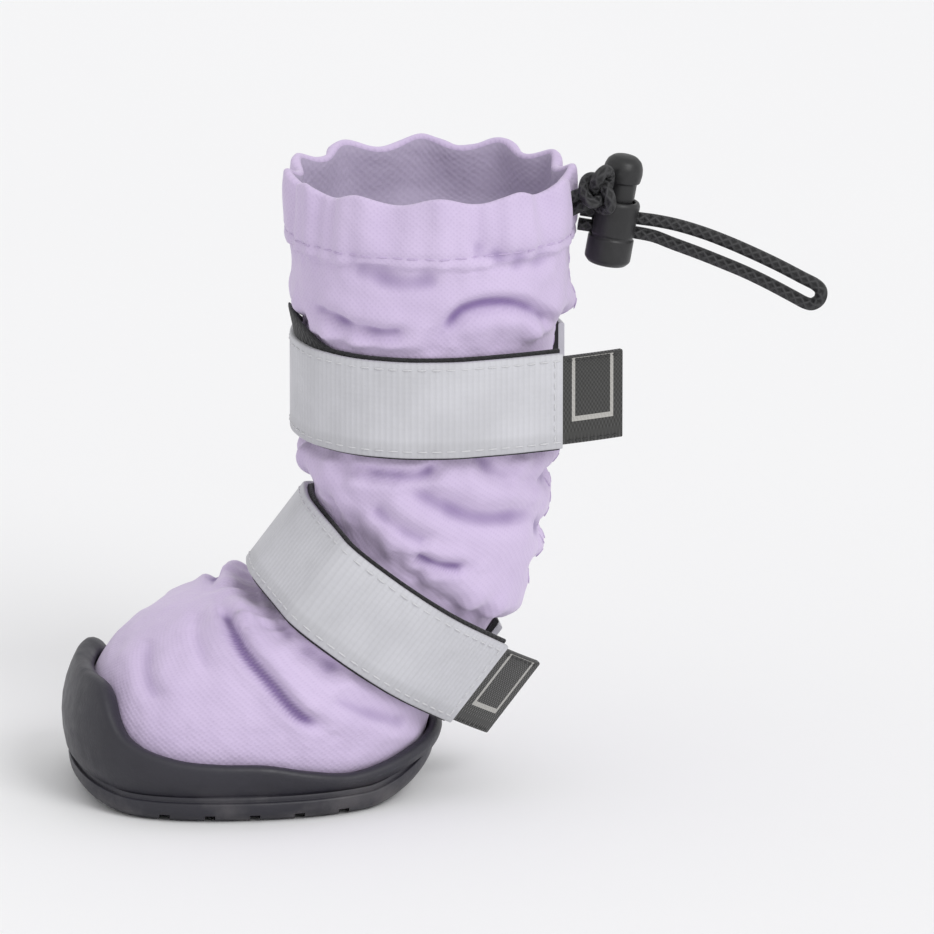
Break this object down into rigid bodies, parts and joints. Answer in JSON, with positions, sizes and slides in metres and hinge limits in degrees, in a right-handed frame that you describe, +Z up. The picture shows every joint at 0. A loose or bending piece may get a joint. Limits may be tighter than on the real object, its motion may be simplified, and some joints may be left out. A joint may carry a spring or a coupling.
{
  "type": "dog boot",
  "caption": "Soft hollow dog boot on a cupped rubber sole with a raised toe cap, hook-and-loop straps, and a drawcord with a spring cord lock at its collar.",
  "frame": {"origin": "at floor height, under the middle of the boot's box without its cord and cord lock", "axes": "+X towards the heel, +Y towards the side away from the straps' free ends, +Z up"},
  "size_m": [0.1195, 0.0496, 0.0998],
  "materials": {
    "upper_fabric": "soft matt woven cloth",
    "sole_rubber": "matt moulded rubber",
    "insole_fabric": "matt cloth",
    "strap_backing": "matt webbing",
    "strap_face": "reflective tape, satin",
    "woven_tab": "woven",
    "lock_plastic": "satin moulded plastic",
    "elastic_cord": "braided"
  },
  "bodies": {
    "boot": {"upper": "upper_fabric", "outsole": "sole_rubber", "insole": "insole_fabric", "ankle_strap_backing": "strap_backing", "ankle_strap": "strap_face", "ankle_strap_tab": "woven_tab", "instep_strap_backing": "strap_backing", "instep_strap": "strap_face", "instep_strap_tab": "woven_tab", "cord_lock_barrel": "lock_plastic", "drawcord": "elastic_cord", "drawcord_knot": "elastic_cord"},
    "plunger": {"cord_lock_plunger": "lock_plastic"}
  },
  "joints": [
    {"name": "plunger_press", "type": "slide", "parent": "boot", "child": "plunger", "axis": [0.1736, 0, 0.9848], "range_m": [-0.0016, 0], "stiffness_N_per_m": 300}
  ]
}
